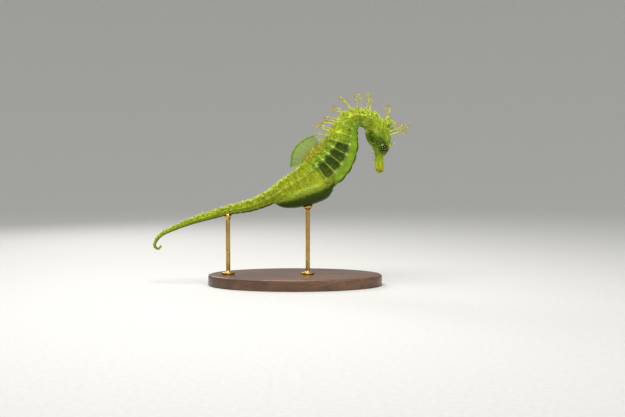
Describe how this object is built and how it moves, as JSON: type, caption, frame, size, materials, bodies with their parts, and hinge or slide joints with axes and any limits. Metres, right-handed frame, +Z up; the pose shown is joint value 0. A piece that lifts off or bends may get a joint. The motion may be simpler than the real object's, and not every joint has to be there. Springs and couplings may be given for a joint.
{
  "type": "seahorse",
  "caption": "Long-snouted seahorse, a male with a full brood pouch and a mane of skin filaments, modelled life-size on a display stand.",
  "frame": {"origin": "centre of the stand base's underside", "axes": "+X the way the animal faces, +Y its left side, +Z up"},
  "size_m": [0.1422, 0.05, 0.1052],
  "materials": {
    "hide": "moist skin over bony plates",
    "pouch_hide": "soft moist skin",
    "crown_hide": "moist skin over bone",
    "fin_membrane": "thin wet membrane",
    "eyeball": "wet and glossy",
    "stand_wood": "satin varnish",
    "stand_brass": "satin"
  },
  "bodies": {
    "root": {"snout": "hide", "head": "hide", "coronet": "crown_hide", "eye_right": "eyeball", "eye_left": "eyeball", "neck": "hide", "trunk": "hide", "brood_pouch": "pouch_hide", "dorsal_fin": "fin_membrane", "anal_fin": "fin_membrane", "pectoral_fin_right": "fin_membrane", "pectoral_fin_left": "fin_membrane", "tail_base": "hide", "tail_second": "hide", "tail_third": "hide", "tail_fourth": "hide", "tail_tip": "hide", "stand_base": "stand_wood", "stand_rod_front": "stand_brass", "stand_rod_rear": "stand_brass"}
  },
  "joints": []
}
